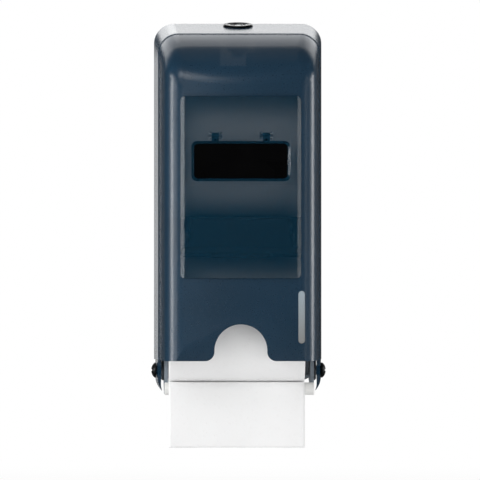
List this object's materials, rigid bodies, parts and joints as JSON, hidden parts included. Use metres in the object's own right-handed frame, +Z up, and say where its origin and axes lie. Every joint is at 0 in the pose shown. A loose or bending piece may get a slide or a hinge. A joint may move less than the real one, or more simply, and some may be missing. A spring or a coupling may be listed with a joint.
{
  "type": "two-roll toilet paper dispenser",
  "caption": "Tall wall dispenser for stacked toilet rolls: hinged smoke cover with window, sprung reserve shelf, key lock on top and paper hanging over a rest bar.",
  "frame": {"origin": "centre of the wall screw pattern on the back face of the housing", "axes": "+Z up, +X across to the right as seen from the front, +Y into the wall"},
  "size_m": [0.1478, 0.1434, 0.3603],
  "materials": {
    "cover_smoke": "translucent smoke blue, fine moulded texture",
    "lens_frosted": "frosted clear",
    "housing_grey": "moulded, fine grain",
    "black_plastic": "smooth black",
    "white_plastic": "moulded white",
    "lock_metal": "polished zinc",
    "lock_dark": "dark plated",
    "steel": "zinc plated",
    "dark_steel": "black oxide",
    "paper": "embossed tissue",
    "cardboard": "grey brown board"
  },
  "bodies": {
    "housing": {"back_housing": "housing_grey", "lock_keeper": "steel", "keeper_screws": "steel", "pivot_screws": "dark_steel", "pivot_washers": "white_plastic", "roll_rest_bar": "white_plastic", "shelf_hinge_pin": "steel", "hanging_sheet": "paper"},
    "cover": {"cover_shell": "cover_smoke", "level_window": "lens_frosted", "plate_hinge_pins": "steel", "lock_bezel": "lock_dark", "lock_body": "lock_metal", "lock_nut": "steel"},
    "lock_plug": {"lock_plug": "lock_metal", "lock_cam": "steel", "cam_screw": "steel"},
    "push_plate": {"push_plate": "black_plastic"},
    "shelf": {"roll_shelf": "housing_grey", "shelf_front_beam": "housing_grey", "beam_screws": "steel"},
    "lower_roll": {"lower_roll_paper": "paper", "lower_roll_core": "cardboard"},
    "reserve_roll": {"reserve_roll_paper": "paper", "reserve_roll_core": "cardboard"}
  },
  "joints": [
    {"name": "cover_hinge", "type": "hinge", "parent": "housing", "child": "cover", "pos_m": [0, -0.036, -0.1383], "axis": [1, 0, 0], "range_deg": [0, 95]},
    {"name": "lock_turn", "type": "hinge", "parent": "cover", "child": "lock_plug", "pos_m": [0, -0.0146, 0.15362], "axis": [0, 0.1478, -0.989], "range_deg": [0, 90]},
    {"name": "push_plate_hinge", "type": "hinge", "parent": "cover", "child": "push_plate", "pos_m": [0, -0.1353, 0.0608], "axis": [1, 0, 0], "range_deg": [0, 14]},
    {"name": "shelf_drop", "type": "hinge", "parent": "housing", "child": "shelf", "pos_m": [0, -0.014, -0.0163], "axis": [1, 0, 0], "range_deg": [0, 17], "stiffness_Nm_per_rad": 0.08, "springref_deg": -34.38},
    {"name": "lower_roll_turn", "type": "hinge", "parent": "housing", "child": "lower_roll", "pos_m": [0, -0.059, -0.0956], "axis": [1, 0, 0], "continuous": true},
    {"name": "reserve_roll_turn", "type": "hinge", "parent": "housing", "child": "reserve_roll", "pos_m": [0, -0.061, 0.0471], "axis": [1, 0, 0], "continuous": true}
  ]
}
